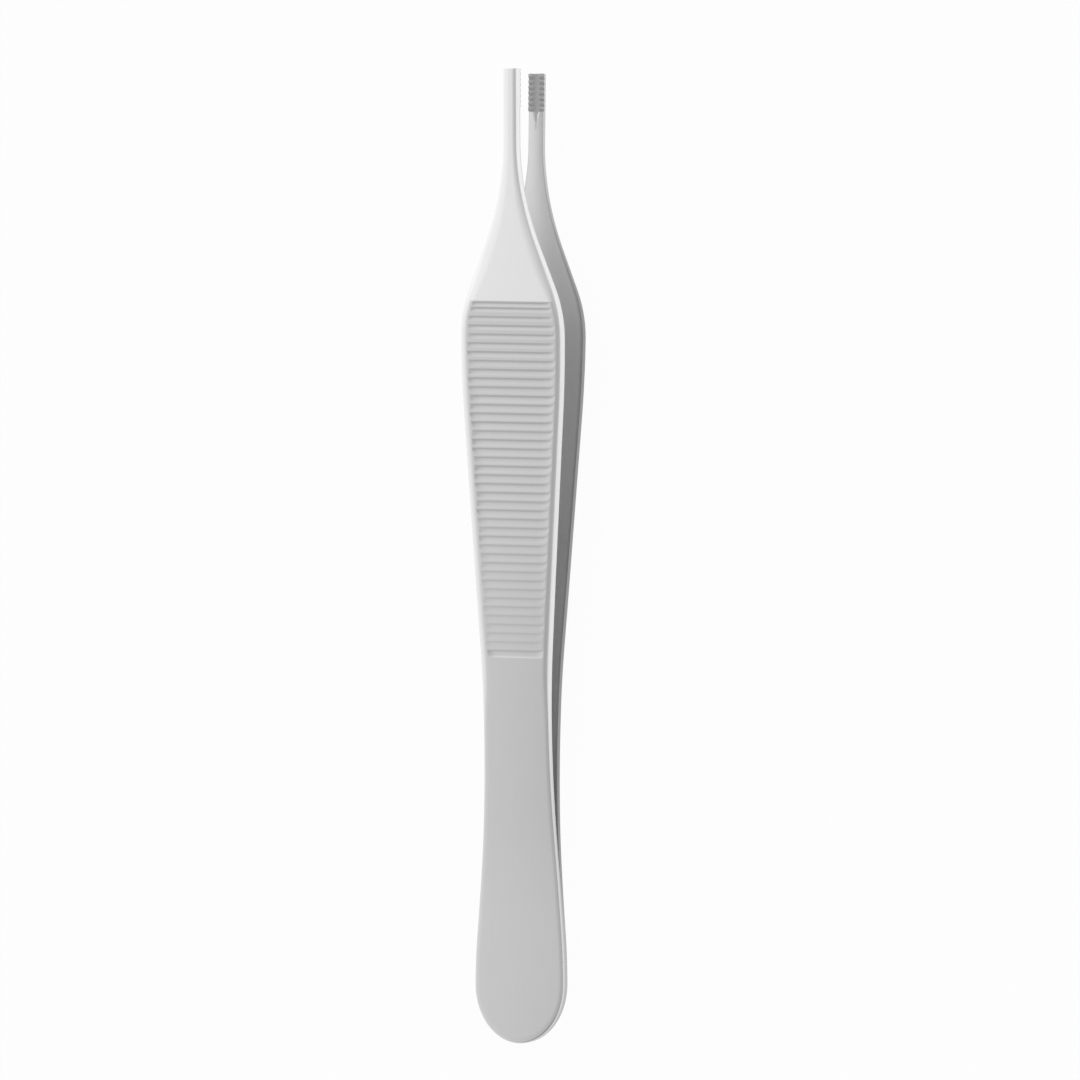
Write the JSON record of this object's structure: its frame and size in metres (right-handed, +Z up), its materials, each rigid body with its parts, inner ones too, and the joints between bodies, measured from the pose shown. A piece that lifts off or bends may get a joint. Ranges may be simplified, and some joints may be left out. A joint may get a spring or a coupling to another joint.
{
  "type": "thumb forceps",
  "caption": "Spring thumb forceps: a pair of steel arms welded at the butt, cross-grooved grip, slim necks and jaws with fine side teeth.",
  "frame": {"origin": "centre of the footprint, on the surface that the forceps lies on", "axes": "+Y along the arms from the butt to the jaws, +X across the arms, +Z up, the way the jaws open"},
  "size_m": [0.013, 0.1202, 0.0149],
  "materials": {
    "steel": "satin stainless steel, softly polished rims"
  },
  "bodies": {
    "root": {"upper_arm": "steel", "lower_arm": "steel"}
  },
  "joints": []
}
